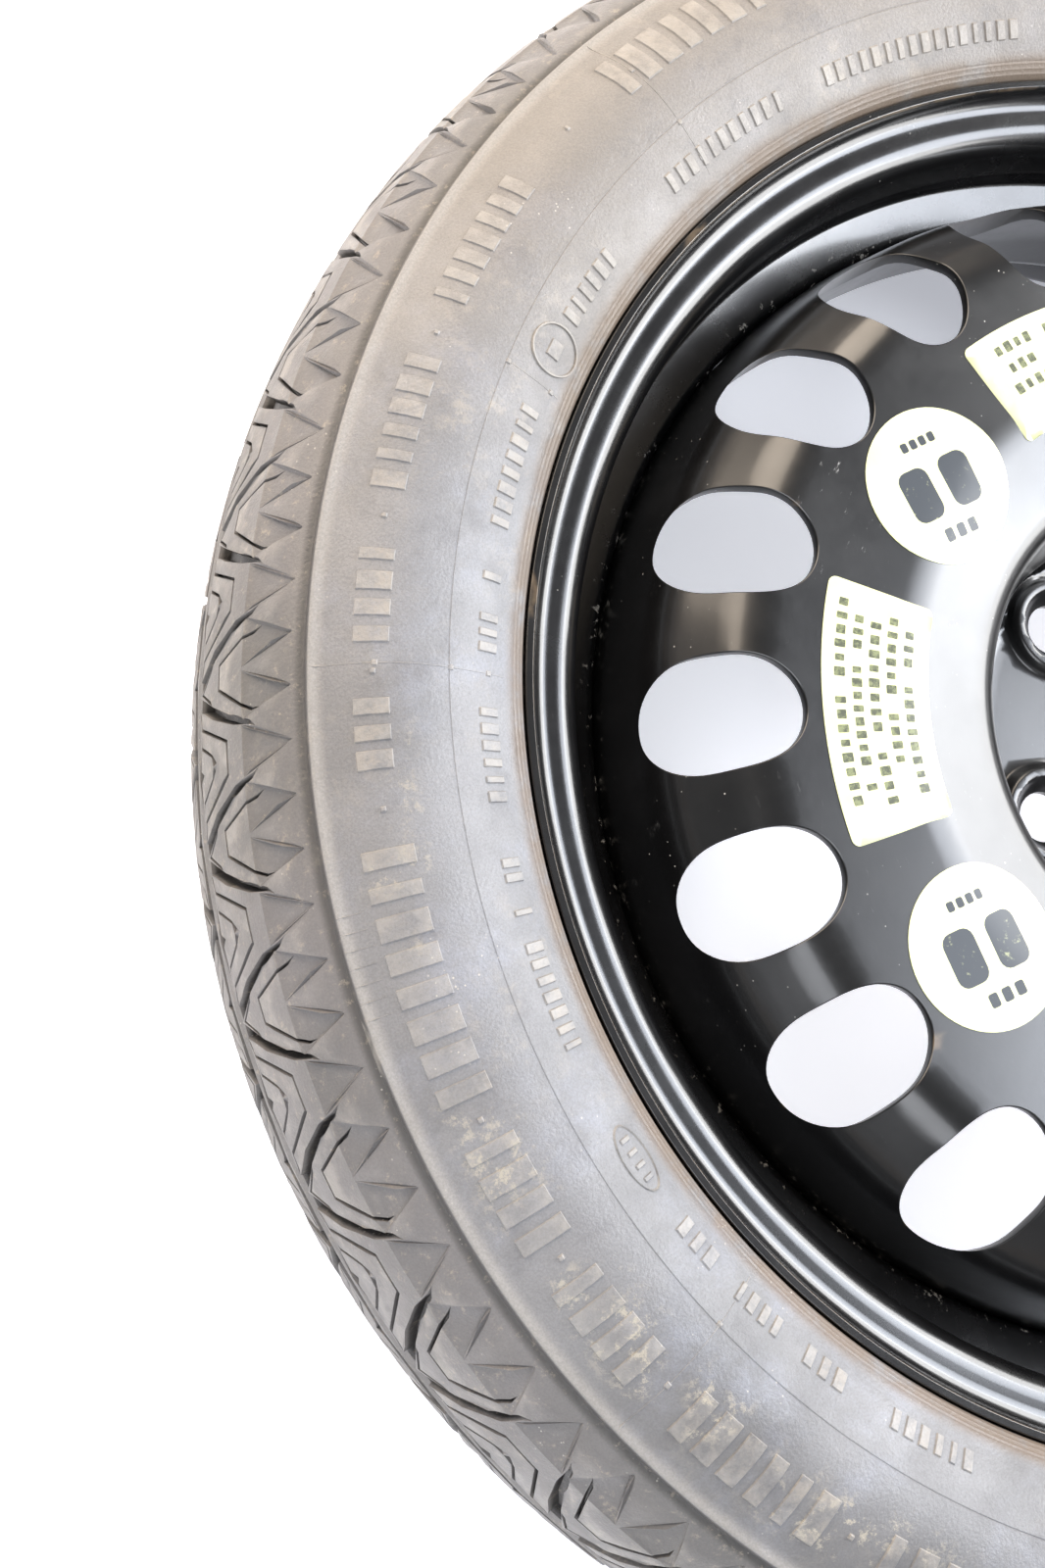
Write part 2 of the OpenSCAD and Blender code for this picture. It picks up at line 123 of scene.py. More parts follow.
def make_tile():
    """Triangulates one pitch with every cut's edges kept; returns flat points, depths, painted groove shade
    and triangles.
    """
    cuts = tile_features()
    pts, edges = [], []

    def ring(poly):
        s = len(pts)
        pts.extend(poly)
        edges.extend((s + i, s + (i + 1) % len(poly)) for i in range(len(poly)))

    for outer, floor, _ in cuts:
        ring(outer)
        ring(floor)
    w = pitch_mm
    heights = [TREAD_TOP, 60.2, 59.6, 57.4, 55.0, 52.3, 49.6, 46.5, 43.5, 40.2, 37.0,
               33.5, 30.0, 26.0, 22.0, 18.0, 14.0, 11.0, 8.0, 4.3, 0.0]
    for x in (0.0, w):
        s = len(pts)
        pts.extend((x, h) for h in heights)
        edges.extend((s + i, s + i + 1) for i in range(len(heights) - 1))
    for h in (TREAD_TOP, 60.2, 59.6, 0.0):
        s = len(pts)
        pts.extend([(-w * 0.5, h), (w * 1.5, h)])
        edges.append((s, s + 1))
    for j in range(-4, 13):
        pts.extend((w * j / 8, h) for h in heights)
    co, _, tri, _, _, _ = delaunay_2d_cdt([Vector(p) for p in pts], edges, [], 0, 1e-4)
    co = np.array([tuple(c) for c in co])
    keep = []
    for t in tri:
        c = co[list(t)].mean(0)
        if 0 < c[0] < w and 0 < c[1] < TREAD_TOP:
            keep.append(t)
    used = sorted({i for t in keep for i in t})
    back = {v: i for i, v in enumerate(used)}
    co = co[used]
    depth, dark = np.zeros(len(co)), np.zeros(len(co))
    for k, (outer, floor, rule) in enumerate(cuts):
        m = inside(co[:, 0], co[:, 1], floor)
        depth[m] = np.maximum(depth[m], rule(co[m, 1]))
        # Grooves and sipes, not the scallops, also get a painted shade value from their depth.
        if k >= len(scallops):
            dark[m] = np.maximum(dark[m], rule(co[m, 1]))
    return co, depth, dark, [tuple(back[i] for i in t) for t in keep]


tile, tile_depth, tile_groove_shade, tile_tris = make_tile()
tile_r, out_r, out_h = surface_at(tread_line, tile[:, 1])
tile_r, tile_h = tile_r - out_r * tile_depth, tile[:, 1] - out_h * tile_depth
verts, faces, flat = [], [], []
at = first_pitch
for c in order:
    span = lengths[c] * unit
    for side in (1, -1):
        base = len(verts)
        start = at + (0 if side > 0 else far_shift)
        a = np.radians(start + span * tile[:, 0] / pitch_mm)
        verts.extend(np.stack([tile_r * np.cos(a), tile_r * np.sin(a), MID + side * tile_h], 1) * MM)
        flat.extend(tile)
        for t in tile_tris:
            f = tuple(base + i for i in t)
            faces.append(f if side > 0 else f[::-1])
    at += span
tread_count = len(verts)

side_line = [(303.2, TREAD_TOP), (303.0, 61.1), (302.8, 63.7), (302.4, 64.3), (301.6, 64.6), (300.6, 64.6),
             (299.0, 65.3), (295.0, 68.0), (290.0, 70.9), (285.5, 72.9), (281.0, 74.2), (276.5, 74.9),
             (272.0, 75.0), (267.5, 74.5), (263.5, 73.75), (263.15, 73.45), (262.8, 73.55), (259.0, 72.6),
             (254.5, 71.1), (250.0, 69.4), (246.0, 67.5), (243.0, 65.8), (241.4, 65.1), (240.9, 64.5),
             (240.2, 64.3), (239.6, 63.6), (238.8, 63.2), (238.3, 62.4), (237.5, 61.9), (237.0, 60.8),
             (236.6, 59.8), (236.2, 58.6), (235.8, 55.0), (235.0, 52.4), (232.0, 50.9), (224.6, 50.6),
             (220.6, 49.0), (218.5, 45.5), (218.3, 42.0), (217.7, 34.4), (219.0, 33.5), (224.0, 37.0),
             (231.0, 43.0), (243.0, 56.0), (256.0, 64.5), (270.0, 67.2), (285.0, 65.0), (297.0, 58.5),
             (306.0, 48.0), (310.5, 36.0), (312.0, 20.0), (312.5, 0.0)]
full_line = side_line + [(r, -h) for r, h in side_line[-2::-1]]
SEG = 360
base = len(verts)
for r, h in full_line:
    for k in range(SEG):
        a = 2 * math.pi * k / SEG
        verts.append((r * math.cos(a) * MM, r * math.sin(a) * MM, (MID + h) * MM))
for j in range(len(full_line) - 1):
    for k in range(SEG):
        a, b = base + j * SEG + k, base + j * SEG + (k + 1) % SEG
        faces.append((a, b, b + SEG, a + SEG))


# The outboard sidewall carries plain raised bars in groups, moulded with it.
# Thin mould lines cross the sidewall at every eighth of a turn, each with small round vent marks on it.
# They are part of the moulding, 0.3 to 0.8 mm proud of it.
seen_side = side_line[3:30]
side_r = np.array([p[0] for p in seen_side])[::-1]
side_h = np.array([p[1] for p in seen_side])[::-1]
# A raised shape starts a little under the sidewall's skin, so that no gap shows beneath it.
SUNK = -0.3
marks_from = len(verts)


def on_side(r, angle, lift, side=1):
    """A point lifted off the sidewall at a radius and an angle in degrees."""
    h = np.interp(r, side_r, side_h)
    dh = (np.interp(r + 1.5, side_r, side_h) - np.interp(r - 1.5, side_r, side_h)) / 3.0
    n = np.array([-dh, 1.0]) / math.hypot(dh, 1.0)
    a = math.radians(angle)
    rr = r + n[0] * lift
    return (rr * math.cos(a) * MM, rr * math.sin(a) * MM, (MID + side * (h + n[1] * lift)) * MM)


def raised(r, angle, wide, tall, proud=0.75, rim=0.55, side=1):
    """A bar with sloped edges that follows the sidewall; wide runs round the tyre, tall runs across it."""
    xs = [-wide / 2, -wide / 2 + rim, 0.0, wide / 2 - rim, wide / 2]
    ny = max(2, int(tall / 2.5))
    ys = [-tall / 2] + list(np.linspace(-tall / 2 + rim, tall / 2 - rim, ny + 1)) + [tall / 2]
    b = len(verts)
    for j, y in enumerate(ys):
        for i, x in enumerate(xs):
            border = i in (0, 4) or j in (0, len(ys) - 1)
            verts.append(on_side(r + y, angle + math.degrees(x / r), SUNK if border else proud, side))
    n = len(xs)
    for j in range(len(ys) - 1):
        for i in range(n - 1):
            q = (b + j * n + i, b + (j + 1) * n + i, b + (j + 1) * n + i + 1, b + j * n + i + 1)
            faces.append(q if side > 0 else q[::-1])


def ring_mark(r, angle, outer, inner, proud=0.6, stretch=1.0):
    """A raised ring on the sidewall."""
    b = len(verts)
    n, slope = 36, 0.35
    rows = [(outer, SUNK), (outer - slope, proud), (inner + slope, proud), (inner, SUNK)]
    for q, lift in rows:
        for k in range(n):
            a = 2 * math.pi * k / n
            round_by = math.degrees(stretch * q * math.cos(a) / r)
            verts.append(on_side(r + q * math.sin(a), angle + round_by, lift))
    for j in range(len(rows) - 1):
        for k in range(n):
            m = (k + 1) % n
            faces.append((b + j * n + k, b + (j + 1) * n + k, b + (j + 1) * n + m, b + j * n + m))


def bar_group(r, start, end, tall, pitch, proud=0.5):
    """A group of bars between two angles."""
    run = math.radians(end - start) * r
    n = max(1, round(run / pitch))
    share = [0.78, 0.62, 0.80, 0.70, 0.52, 0.76, 0.66]
    for i in range(n):
        a = start + (end - start) * (i + 0.5) / n
        raised(r, a, run / n * share[(i * 3 + n) % len(share)], tall, proud)


inner_row, outer_row = 250.4, 286.0
for start, end in [(-54.8, -48.0), (-41.0, -31.2), (-28.4, -27.2), (-25.4, -22.3), (-18.9, -12.0),
                   (-8.6, -6.6), (-5.2, -4.3), (-2.9, 5.0), (17.7, 21.6), (23.4, 27.8), (29.6, 33.5),
                   (37, 44), (50, 61), (96, 110), (114, 121), (150, 171), (178, 190), (215, 234),
                   (262, 281), (-75, -62)]:
    bar_group(inner_row, start, end, 6.8, 5.3, 0.55)
for start, end in [(-54.6, -44.3), (-40.9, -31.5), (-28.4, -21.9), (-19.2, -14.5)]:
    bar_group(outer_row, start, end, 10.5, 7.6)
for start, end in [(-10.6, 5.0), (6.7, 14.0), (15.6, 22.8), (25.4, 36.5), (39.5, 47.5), (51, 68),
                   (100, 124), (128, 150), (188, 212), (216, 226), (-102, -84), (-80, -64)]:
    bar_group(outer_row, start, end, 15.0, 9.6)
for a in (-59.5, -42.3, -30.0, -20.5, -12.4, 5.9, 14.7, 37.8):
    raised(285.5, a, 2.2, 2.2, 0.6, 0.6)
round_mark, oval_mark = -45.6, 12.9
ring_mark(inner_row, round_mark, 8.6, 7.4)
ring_mark(inner_row, oval_mark, 4.9, 4.2, 0.5, 2.3)
raised(inner_row, round_mark, 6.5, 5.2, 0.5)
for k in range(4):
    raised(inner_row, oval_mark + (k - 1.5) * 0.95, 2.2, 4.2, 0.45)
for k in range(8):
    a = -21.0 + 45 * k
    for side in (1, -1):
        raised(273.0, a, 0.75, 57.5, 0.12, 0.28, side=side)
        for r in (250.0, 262.5, 285.0):
            raised(r, a, 2.4, 2.4, 0.35, 0.6, side=side)
for a in (-42.7, 66.0, 155.0, 245.0):
    raised(252.5, a, 0.75, 19.0, 0.12, 0.28)
    raised(246.0, a, 2.4, 2.4, 0.35, 0.6)
    raised(262.3, a, 2.4, 2.4, 0.35, 0.6)
for k in range(-3, 4):
    raised(299.0, -4.2 + k * 0.95, 0.5, 7.4, 0.1, 0.2)


def mesh_object(name, verts, faces, smooth):
    """A new object in the row frame with smooth faces and edges kept sharp above an angle."""
    me = bpy.data.meshes.new(name)
    me.from_pydata([tuple(v) for v in verts], [], faces)
    me.validate()
    for p in me.polygons:
        p.use_smooth = True
    me.set_sharp_from_angle(angle=math.radians(smooth))
    ob = bpy.data.objects.new(name, me)
    bpy.context.scene.collection.objects.link(ob)
    return ob


tyre = mesh_object("tyre_moulding", verts, faces, 27)
pitch_map = tyre.data.attributes.new("pitch_place", "FLOAT_VECTOR", "POINT")
place = np.zeros((len(tyre.data.vertices), 3), np.float32)
place[:tread_count, :2] = np.array(flat)
# The third channel holds the painted groove shade on the tread and -1 on the raised marks.
place[:tread_count, 2] = np.tile(tile_groove_shade, 2 * len(order))
place[marks_from:, 2] = -1.0
pitch_map.data.foreach_set("vector", place.ravel())
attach(tyre, "wheel")
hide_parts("tyre")


def linear(colour):
    """Colour from an sRGB hex string, made linear."""
    v = [int(colour[i:i + 2], 16) / 255 for i in (0, 2, 4)]
    return tuple(c / 12.92 if c <= 0.04045 else ((c + 0.055) / 1.055) ** 2.4 for c in v) + (1.0,)


def material(name):
    """A new material; returns it, its node tree and its main shader."""
    m = bpy.data.materials.new(name)
    m.use_nodes = True
    nt = m.node_tree
    nt.nodes.clear()
    out = nt.nodes.new("ShaderNodeOutputMaterial")
    skin = nt.nodes.new("ShaderNodeBsdfPrincipled")
    nt.links.new(skin.outputs[0], out.inputs["Surface"])
    return m, nt, skin


def add(nt, kind, values=None, links=None, **settings):
    """Adds one shader node with its settings, socket values and incoming links."""
    n = nt.nodes.new("ShaderNode" + kind)
    for k, v in settings.items():
        setattr(n, k, v)
    for k, v in (values or {}).items():
        n.inputs[k].default_value = v
    for k, v in (links or {}).items():
        nt.links.new(v, n.inputs[k])
    return n


def noise(nt, scale, detail=4.0, rough=0.55, vector=None):
    """Noise in the row frame; scale is features per metre."""
    v = vector or add(nt, "TexCoord").outputs["Object"]
    n = add(nt, "TexNoise", {"Scale": scale, "Detail": detail, "Roughness": rough}, {"Vector": v})
    return n.outputs["Fac"]


def band(nt, value, low, high, to_low=0.0, to_high=1.0):
    """Smooth step of a value between two limits."""
    n = add(nt, "MapRange", {"From Min": low, "From Max": high, "To Min": to_low, "To Max": to_high},
            {"Value": value}, interpolation_type="SMOOTHSTEP")
    return n.outputs["Result"]


def maths(nt, op, a, b=0.5):
    """One arithmetic node; a and b are sockets or numbers."""
    n = add(nt, "Math", operation=op)
    for i, v in enumerate((a, b)):
        if isinstance(v, (int, float)):
            n.inputs[i].default_value = v
        else:
            nt.links.new(v, n.inputs[i])
    return n.outputs[0]


def mix(nt, fac, a, b):
    """Mixes two colours; fac, a and b are sockets or values."""
    n = add(nt, "Mix", data_type="RGBA")
    for k, v in ((0, fac), (6, a), (7, b)):
        if isinstance(v, (int, float, tuple)):
            n.inputs[k].default_value = v
        else:
            nt.links.new(v, n.inputs[k])
    return n.outputs[2]


def plan(nt):
    """Places along x and y in metres, as sockets."""
    spot = add(nt, "SeparateXYZ", links={"Vector": add(nt, "TexCoord").outputs["Object"]}).outputs
    return spot[0], spot[1]


def polar(nt):
    """Distance from the wheel's axis in metres and angle round it in radians, as sockets."""
    x, y = plan(nt)
    r = maths(nt, "SQRT", maths(nt, "ADD", maths(nt, "MULTIPLY", x, x), maths(nt, "MULTIPLY", y, y)))
    return r, maths(nt, "ARCTAN2", y, x)


def rough_within(nt, skin, scale, detail, rough, low, high):
    """Sets the finish's roughness, clouded between two values."""
    nt.links.new(band(nt, noise(nt, scale, detail, rough), 0.3, 0.7, low, high), skin.inputs["Roughness"])


# Carbon-filled rubber, vulcanised in a steel mould, then sun-greyed and handled.
# It looks a neutral grey with a paler bluish bloom on the sidewall and browner on the tread.
# Beige dust sits in the grooves and on the raised shapes, and dried clay beside the outer bars.
rubber, nt, skin = material("tyre_rubber")
r, turn = polar(nt)
where = add(nt, "Attribute", attribute_name="pitch_place").outputs["Vector"]
kind = add(nt, "SeparateXYZ", links={"Vector": where}).outputs[2]
on_tread = band(nt, r, 0.3010, 0.3045)
cloud = noise(nt, 11.0, 4.0, 0.55)
bloom = band(nt, noise(nt, 30.0, 6.0, 0.7), 0.45, 0.75)
side_colour = mix(nt, band(nt, cloud, 0.3, 0.75), linear("66676a"), linear("828387"))
side_colour = mix(nt, maths(nt, "MULTIPLY", bloom, 0.55), side_colour, linear("8c919e"))
tread_colour = mix(nt, band(nt, cloud, 0.3, 0.7), linear("62605e"), linear("737070"))
# The sidewall's upper side is tinted warm beige: painted warm light from the lamp over the top edge. A faint
# warm tint also lies on the outer band of the sidewall.
warm_light_and_tone = maths(nt, "MULTIPLY", band(nt, turn, -0.45, -1.0), band(nt, turn, -3.0, -2.3))
warm_light_and_tone = maths(nt, "MAXIMUM", maths(nt, "MULTIPLY", warm_light_and_tone, 0.65),
             maths(nt, "MULTIPLY", band(nt, r, 0.268, 0.292), 0.2))
side_colour = mix(nt, warm_light_and_tone, side_colour, linear("7f776d"))
grime = band(nt, noise(nt, 48.0, 6.0, 0.7), 0.52, 0.7)
side_colour = mix(nt, maths(nt, "MULTIPLY", grime, 0.35), side_colour, linear("57565a"))
# A pale line along the ridge's crest is a painted highlight.
ridge_highlight = maths(nt, "MULTIPLY", band(nt, r, 0.2975, 0.3015), band(nt, r, 0.3029, 0.3025))
side_colour = mix(nt, maths(nt, "MULTIPLY", ridge_highlight, 0.45), side_colour, linear("aeaaa4"))
# A dark band just below the ridge, where the lugs begin, is painted shadow.
ridge_shadow = maths(nt, "MULTIPLY", band(nt, r, 0.3025, 0.3029), band(nt, r, 0.3064, 0.3036))
colour = mix(nt, on_tread, side_colour, tread_colour)
colour = mix(nt, maths(nt, "MULTIPLY", ridge_shadow, 0.7), colour, linear("393735"))
grit = noise(nt, 1500.0, 3.0, 0.6)
colour = mix(nt, band(nt, grit, 0.35, 0.65, 0.0, 0.22), colour, linear("4a4948"))
# Grooves and sipes are darkened by their depth: painted shade in the recesses.
colour = mix(nt, band(nt, kind, 0.4, 2.0), colour, linear("2c2a29"))
# Sharp edges are lightened with pale beige: partly dust and wear, partly a painted highlight.
edge = band(nt, add(nt, "NewGeometry").outputs["Pointiness"], 0.515, 0.58)
edge = maths(nt, "MULTIPLY", edge, band(nt, noise(nt, 120.0, 4.0, 0.7), 0.3, 0.6))
colour = mix(nt, maths(nt, "MULTIPLY", edge, 0.4), colour, linear("aba69e"))
rubbed = maths(nt, "MULTIPLY", band(nt, kind, -0.5, -0.9), band(nt, noise(nt, 130.0, 6.0, 0.75), 0.42, 0.62))
rubbed = maths(nt, "MULTIPLY", rubbed, band(nt, noise(nt, 9.0, 2.0), 0.46, 0.62, 0.1, 0.5))
colour = mix(nt, rubbed, colour, linear("968f86"))
clay = maths(nt, "MULTIPLY", band(nt, turn, -0.42, -0.15), band(nt, turn, 1.5, 1.0))
outer_bars = maths(nt, "MULTIPLY", band(nt, r, 0.268, 0.282), band(nt, r, 0.299, 0.290))
clay = maths(nt, "MULTIPLY", clay, outer_bars)
clay = maths(nt, "MULTIPLY", clay, band(nt, noise(nt, 150.0, 9.0, 0.82), 0.52, 0.60))
clay = maths(nt, "MULTIPLY", clay, band(nt, noise(nt, 26.0, 2.0), 0.46, 0.6))
colour = mix(nt, maths(nt, "MULTIPLY", clay, 0.8), colour, linear("aaa394"))
dust = band(nt, noise(nt, 105.0, 8.0, 0.78), 0.50, 0.70)
dust = maths(nt, "MULTIPLY", dust, band(nt, noise(nt, 8.0, 2.0), 0.46, 0.70))
colour = mix(nt, maths(nt, "MULTIPLY", dust, 0.5), colour, linear("a79e90"))
bead_dirt = band(nt, noise(nt, 60.0, 5.0, 0.7), 0.25, 0.55)
bead_dirt = maths(nt, "MULTIPLY", band(nt, r, 0.2450, 0.2400), bead_dirt)
colour = mix(nt, maths(nt, "MULTIPLY", bead_dirt, 0.7), colour, linear("6b5a48"))
crumbs = maths(nt, "MULTIPLY", on_tread, band(nt, noise(nt, 230.0, 9.0, 0.8), 0.55, 0.66))
colour = mix(nt, maths(nt, "MULTIPLY", crumbs, 0.45), colour, linear("a89d8c"))
specks = add(nt, "TexVoronoi", {"Scale": 420.0}, {"Vector": add(nt, "TexCoord").outputs["Object"]})
specks = band(nt, specks.outputs["Distance"], 0.16, 0.08)
specks = maths(nt, "MULTIPLY", specks, band(nt, noise(nt, 30.0, 3.0), 0.56, 0.68))
colour = mix(nt, maths(nt, "MULTIPLY", specks, 0.75), colour, linear("b9b4ab"))
nt.links.new(colour, skin.inputs["Base Color"])
rough_within(nt, skin, 55.0, 5.0, 0.65, 0.40, 0.56)
skin.inputs["Specular IOR Level"].default_value = 0.5
grain = add(nt, "Bump", {"Strength": 0.6, "Distance": 0.0004}, {"Height": noise(nt, 900.0, 4.0, 0.6)})
swell = add(nt, "Bump", {"Strength": 0.4, "Distance": 0.0006},
            {"Height": noise(nt, 40.0, 3.0, 0.5), "Normal": grain.outputs[0]})
nt.links.new(swell.outputs[0], skin.inputs["Normal"])
tyre.data.materials.append(rubber)

# The rim is one rolled steel strip, 2.6 mm thick, with curled lips, bead seats, humps and a drop centre.
# It carries the tyre's beads and holds the disc, which is pressed and welded inside the well.
RIM_T = 2.6
rim_half = [(234.5, 60.5, 0), (234.5, 52.1, 8.0), (217.0, 52.1, 7.8),
            (216.0, 33.8, 2.0), (217.2, 30.8, 2.0), (216.0, 27.8, 2.0)]
well = [(216.0, 25.0, 3.0), (201.3, 19.9, 4.0), (201.3, -10.0, 8.0), (216.0, -22.0, 8.0)]
rim_corners = rim_half + well + [(r_, -h_, q) for r_, h_, q in rim_half[::-1]]


def pressed_line(corners, fine, longest):
    """Polyline through rounded corners (radius, height, corner radius), with its unit normals."""
    pts = []
    for i, (x, y, q) in enumerate(corners):
        b = Vector((x, y))
        if i in (0, len(corners) - 1) or q == 0:
            pts.append(b)
            continue
        u = (Vector(corners[i - 1][:2]) - b).normalized()
        v = (Vector(corners[i + 1][:2]) - b).normalized()
        half = math.acos(max(-1.0, min(1.0, u.dot(v)))) / 2
        mid = b + (u + v).normalized() * (q / math.sin(half))
        a, c = b + u * (q / math.tan(half)) - mid, b + v * (q / math.tan(half)) - mid
        turn_by = math.atan2(a.x * c.y - a.y * c.x, a.dot(c))
        steps = 2 + int(q * fine * min(1.0, abs(turn_by)))
        for k in range(steps + 1):
            t = turn_by * k / steps
            swung = (a.x * math.cos(t) - a.y * math.sin(t), a.x * math.sin(t) + a.y * math.cos(t))
            pts.append(mid + Vector(swung))
    out = [pts[0]]
    for p in pts[1:]:
        d = (p - out[-1]).length
        if d < 1e-4:
            continue
        n = max(1, math.ceil(d / longest))
        start = out[-1].copy()
        out.extend(start.lerp(p, (k + 1) / n) for k in range(n))
    line = np.array([tuple(p) for p in out])
    step = np.diff(line, axis=0)
    step /= np.linalg.norm(step, axis=1)[:, None]
    tangent = np.vstack([step[:1], step[:-1] + step[1:], step[-1:]])
    tangent /= np.linalg.norm(tangent, axis=1)[:, None]
    return line, np.stack([tangent[:, 1], -tangent[:, 0]], 1)


def turned(outline):
    """Vertices and faces of a closed outline turned round the axis."""
    n = len(outline)
    v, f = [], []
    for r_, h_ in outline:
        for k in range(SEG):
            a = 2 * math.pi * k / SEG
            v.append((r_ * math.cos(a) * MM, r_ * math.sin(a) * MM, (MID + h_) * MM))
    for j in range(n):
        here, below = j * SEG, (j + 1) % n * SEG
        for k in range(SEG):
            m = (k + 1) % SEG
            f.append((here + k, here + m, below + m, below + k))
    return v, f


line, normal = pressed_line(rim_corners, 1.0, 14.0)
outer_side, inner_side = line + normal * RIM_T / 2, line - normal * RIM_T / 2
outline = [tuple(p) for p in outer_side] + [tuple(p) for p in inner_side[::-1]]
rim_v, rim_f = turned(outline)
rim = mesh_object("rim_strip", rim_v, rim_f, 50)
rim_bevel = rim.modifiers.new("rolled_edge", "BEVEL")
rim_bevel.width, rim_bevel.segments = 0.0008, 2
rim_bevel.limit_method, rim_bevel.angle_limit = "ANGLE", math.radians(60)
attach(rim, "wheel")
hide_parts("rim")

# Black gloss paint on steel: deep black with a faint orange peel, fine dust and a few pale specks.
# Thin pale scuffs are part of its colour.
def black_paint(name, speck, peel, dull):
    """The black coat: speck is how strong its pale specks are, peel its waviness, dull its lost gloss."""
    m, nt, skin = material(name)
    r, turn = polar(nt)
    here = add(nt, "TexCoord").outputs["Object"]
    haze = band(nt, noise(nt, 26.0, 6.0, 0.65), 0.45, 0.8)
    colour = mix(nt, maths(nt, "MULTIPLY", haze, 0.10), linear("0b0b0c"), linear("4a4a4c"))
    dots = add(nt, "TexVoronoi", {"Scale": 260.0}, {"Vector": here}).outputs["Distance"]
    dots = maths(nt, "MULTIPLY", band(nt, dots, 0.085, 0.04), band(nt, noise(nt, 17.0, 3.0), 0.56, 0.7))
    colour = mix(nt, maths(nt, "MULTIPLY", dots, speck), colour, linear("d8d6d0"))
    seam = maths(nt, "MULTIPLY", band(nt, r, 0.1985, 0.2003), band(nt, r, 0.2075, 0.2015))
    seam = maths(nt, "MULTIPLY", seam, band(nt, noise(nt, 240.0, 3.0, 0.7), 0.60, 0.72))
    colour = mix(nt, maths(nt, "MULTIPLY", seam, 0.7), colour, linear("c9c6bf"))
    # Punched and rolled edges are lightened to warm brown: a painted highlight where their roundings catch
    # the warm light.
    lit_edge = band(nt, add(nt, "NewGeometry").outputs["Pointiness"], 0.53, 0.62)
    lit_edge = maths(nt, "MULTIPLY", lit_edge, band(nt, noise(nt, 90.0, 4.0, 0.6), 0.3, 0.6))
    colour = mix(nt, maths(nt, "MULTIPLY", lit_edge, 0.55), colour, linear("6f5f4c"))
    # Handling marks on the crown: short pale scuffs that run round the wheel, thickest beside the labels.
    across, along = maths(nt, "MULTIPLY", r, 420.0), maths(nt, "MULTIPLY", turn, 14.0)
    round_way = add(nt, "CombineXYZ", links={0: across, 1: along})
    scuff = band(nt, noise(nt, 1.0, 6.0, 0.75, round_way.outputs[0]), 0.62, 0.72)
    patch = maths(nt, "MULTIPLY", band(nt, r, 0.124, 0.134), band(nt, r, 0.168, 0.158))
    patch = maths(nt, "MULTIPLY", patch, band(nt, turn, -0.98, -0.82))
    patch = maths(nt, "MULTIPLY", patch, band(nt, turn, -0.44, -0.6))
    scuff = maths(nt, "MULTIPLY", scuff, maths(nt, "ADD", maths(nt, "MULTIPLY", patch, 0.75), 0.05))
    colour = mix(nt, scuff, colour, linear("b8b8b8"))
    nt.links.new(colour, skin.inputs["Base Color"])
    gloss = band(nt, noise(nt, 40.0, 6.0, 0.7), 0.3, 0.75, 0.22 + dull, 0.30 + dull)
    nt.links.new(gloss, skin.inputs["Roughness"])
    skin.inputs["Coat Weight"].default_value = 0.5
    skin.inputs["Coat Roughness"].default_value = 0.12 + dull
    rough = add(nt, "Bump", {"Strength": peel, "Distance": 0.0002}, {"Height": noise(nt, 420.0, 2.0, 0.5)})
    nt.links.new(rough.outputs[0], skin.inputs["Normal"])
    return m


paint = black_paint("black_gloss_paint", 0.5, 0.04, 0.0)
rim.data.materials.append(paint)

# The disc is one pressing in 4 mm steel: flat hub face with five ball seats, a steep nave wall, a broad crown
# pierced by twenty vents, and a skirt that is pressed into the rim's well.
# Its mesh is a top and a bottom skin, joined at the bore, the vents, the bolt holes and the skirt's end.
DISC_T = 4.0
BORE_R = 33.3
disc_corners = [(BORE_R, 2.0, 0), (76.0, 2.0, 8.0), (86.0, 36.1, 9.0), (117.0, 42.3, 60.0),
                (171.0, 42.3, 18.0), (190.5, 20.0, 30.0), (197.85, -14.0, 40.0), (197.85, -34.0, 0)]
mid_line, mid_normal = pressed_line(disc_corners, 1.2, 3.0)
if mid_normal[0][1] < 0:
    mid_normal = -mid_normal
run = np.concatenate([[0], np.cumsum(np.linalg.norm(np.diff(mid_line, axis=0), axis=1))])
skins = {1: mid_line + mid_normal * DISC_T / 2, -1: mid_line - mid_normal * DISC_T / 2}
vent_turn, vents = 17.4, 20


def skin_point(side, along):
    """Radius and height of the disc's skin at a length along its section."""
    return np.interp(along, run, skins[side][:, 0]), np.interp(along, run, skins[side][:, 1])


past_nave = (run > 75) & (run < run[-1] - 22)


def along_at(side, radius):
    """Length along the section where a skin reaches a radius; the skin is taken outside the nave wall."""
    return np.interp(radius, skins[side][past_nave, 0], run[past_nave])


def vent_ring(grow):
    """Outline of a vent seen along the axis: full round at its inner end and blunt at its outer end."""
    steps, vent_mid_r = 72, 176.0
    reach = np.array([18.6, 18.95, 19.95, 20.85, 20.35, 19.05, 18.15, 17.95, 18.6, 19.75, 21.2, 22.4, 22.9])
    reach = np.concatenate([reach, reach[-2:0:-1]])
    n = len(reach)
    wave = np.fft.rfft(reach)
    pts = []
    for k in range(steps):
        a = 2 * math.pi * k / steps
        d = wave[0].real / n + sum(2 / n * (wave[j] * np.exp(1j * j * a)).real for j in range(1, 8)) + grow
        pts.append((vent_mid_r + d * math.cos(a), d * math.sin(a)))
    return pts


def ordered_cdt(points, edges, keep_test):
    """Constrained triangles of flat points; keeps only those whose centres pass the test."""
    co, _, tri, orig, _, _ = delaunay_2d_cdt([Vector(p) for p in points], edges, [], 0, 1e-5)
    co = np.array([tuple(c) for c in co])
    where_is = {}
    for i, src in enumerate(orig):
        for q in src:
            where_is[q] = i
    mid = co[np.array(tri)].mean(1)
    return co, [t for t, kept in zip(tri, keep_test(mid[:, 0], mid[:, 1])) if kept], where_is


